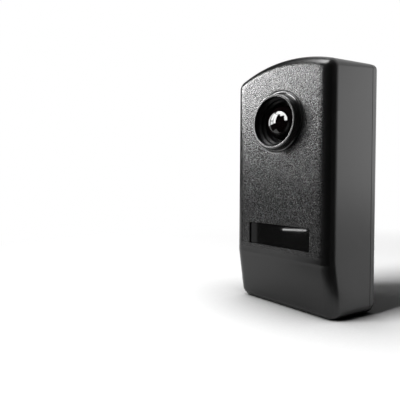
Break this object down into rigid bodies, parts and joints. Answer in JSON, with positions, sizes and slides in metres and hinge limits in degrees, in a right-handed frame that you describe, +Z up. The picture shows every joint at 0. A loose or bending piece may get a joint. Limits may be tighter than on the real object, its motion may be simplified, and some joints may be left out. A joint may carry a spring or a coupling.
{
  "type": "gate safety photocell",
  "caption": "Black wall-mounted infrared photocell for a gate, with an arched top, a domed lens in a round collar and a dark window, over a shallow rear base with its circuit board.",
  "frame": {"origin": "on the surface that the case stands on, under the middle of its bounding box", "axes": "+Z up along the case, -Y out of the face with the lens, +Y into the wall behind, +X to the right as seen from the front"},
  "size_m": [0.055, 0.0336, 0.11],
  "materials": {
    "case": "black moulded plastic, fine grain on the face, satin sides",
    "window": "smoked glossy pane",
    "lens": "polished infrared-pass plastic, almost black",
    "inner_black": "black moulded plastic, plain",
    "seal": "soft black rubber",
    "steel": "zinc-plated steel",
    "board": "green lacquered circuit board",
    "terminal": "green moulded plastic",
    "relay": "pale moulded plastic",
    "sleeve": "dark blue shrink sleeve",
    "epoxy": "black moulded epoxy",
    "varistor": "blue dipped coating",
    "resistor": "beige lacquer with plain rings",
    "sensor": "dark filtered epoxy",
    "spacer": "white nylon",
    "led": "clear red epoxy",
    "trimmer": "blue moulded plastic",
    "rotor": "white moulded plastic",
    "pin": "gold-flashed pins",
    "jumper": "red moulded plastic"
  },
  "bodies": {
    "base": {"rear_base": "case", "cover_gasket": "seal", "cover_screw": "steel", "cable_grommet": "seal", "circuit_board": "board", "board_screws": "steel", "sensor_shroud": "inner_black", "infrared_sensor": "sensor", "terminal_block": "terminal", "terminal_screws": "steel", "wire_clamps": "steel", "relay": "relay", "main_capacitor": "sleeve", "small_capacitors": "sleeve", "bridge_rectifier": "epoxy", "voltage_regulator": "epoxy", "surge_varistor": "varistor", "amplifier_chip": "epoxy", "resistors": "resistor", "led_spacers": "spacer", "status_leds": "led", "trimmer_body": "trimmer", "jumper_strip": "inner_black", "jumper_pins": "pin"},
    "cover": {"front_cover": "case", "window_pane": "window", "lens_dome": "lens", "lens_seal": "seal", "lens_ring": "inner_black"},
    "trimmer": {"trimmer_rotor": "rotor"},
    "jumper": {"jumper_cap": "jumper"}
  },
  "joints": [
    {"name": "cover_pull", "type": "slide", "parent": "base", "child": "cover", "axis": [0, -1, 0], "range_m": [0, 0.035]},
    {"name": "trimmer_turn", "type": "hinge", "parent": "base", "child": "trimmer", "pos_m": [0.01785, 0.00315, 0.0836], "axis": [0, -1, 0], "range_deg": [-105, 105]},
    {"name": "jumper_pull", "type": "slide", "parent": "base", "child": "jumper", "axis": [0, -1, 0], "range_m": [0, 0.008]}
  ]
}
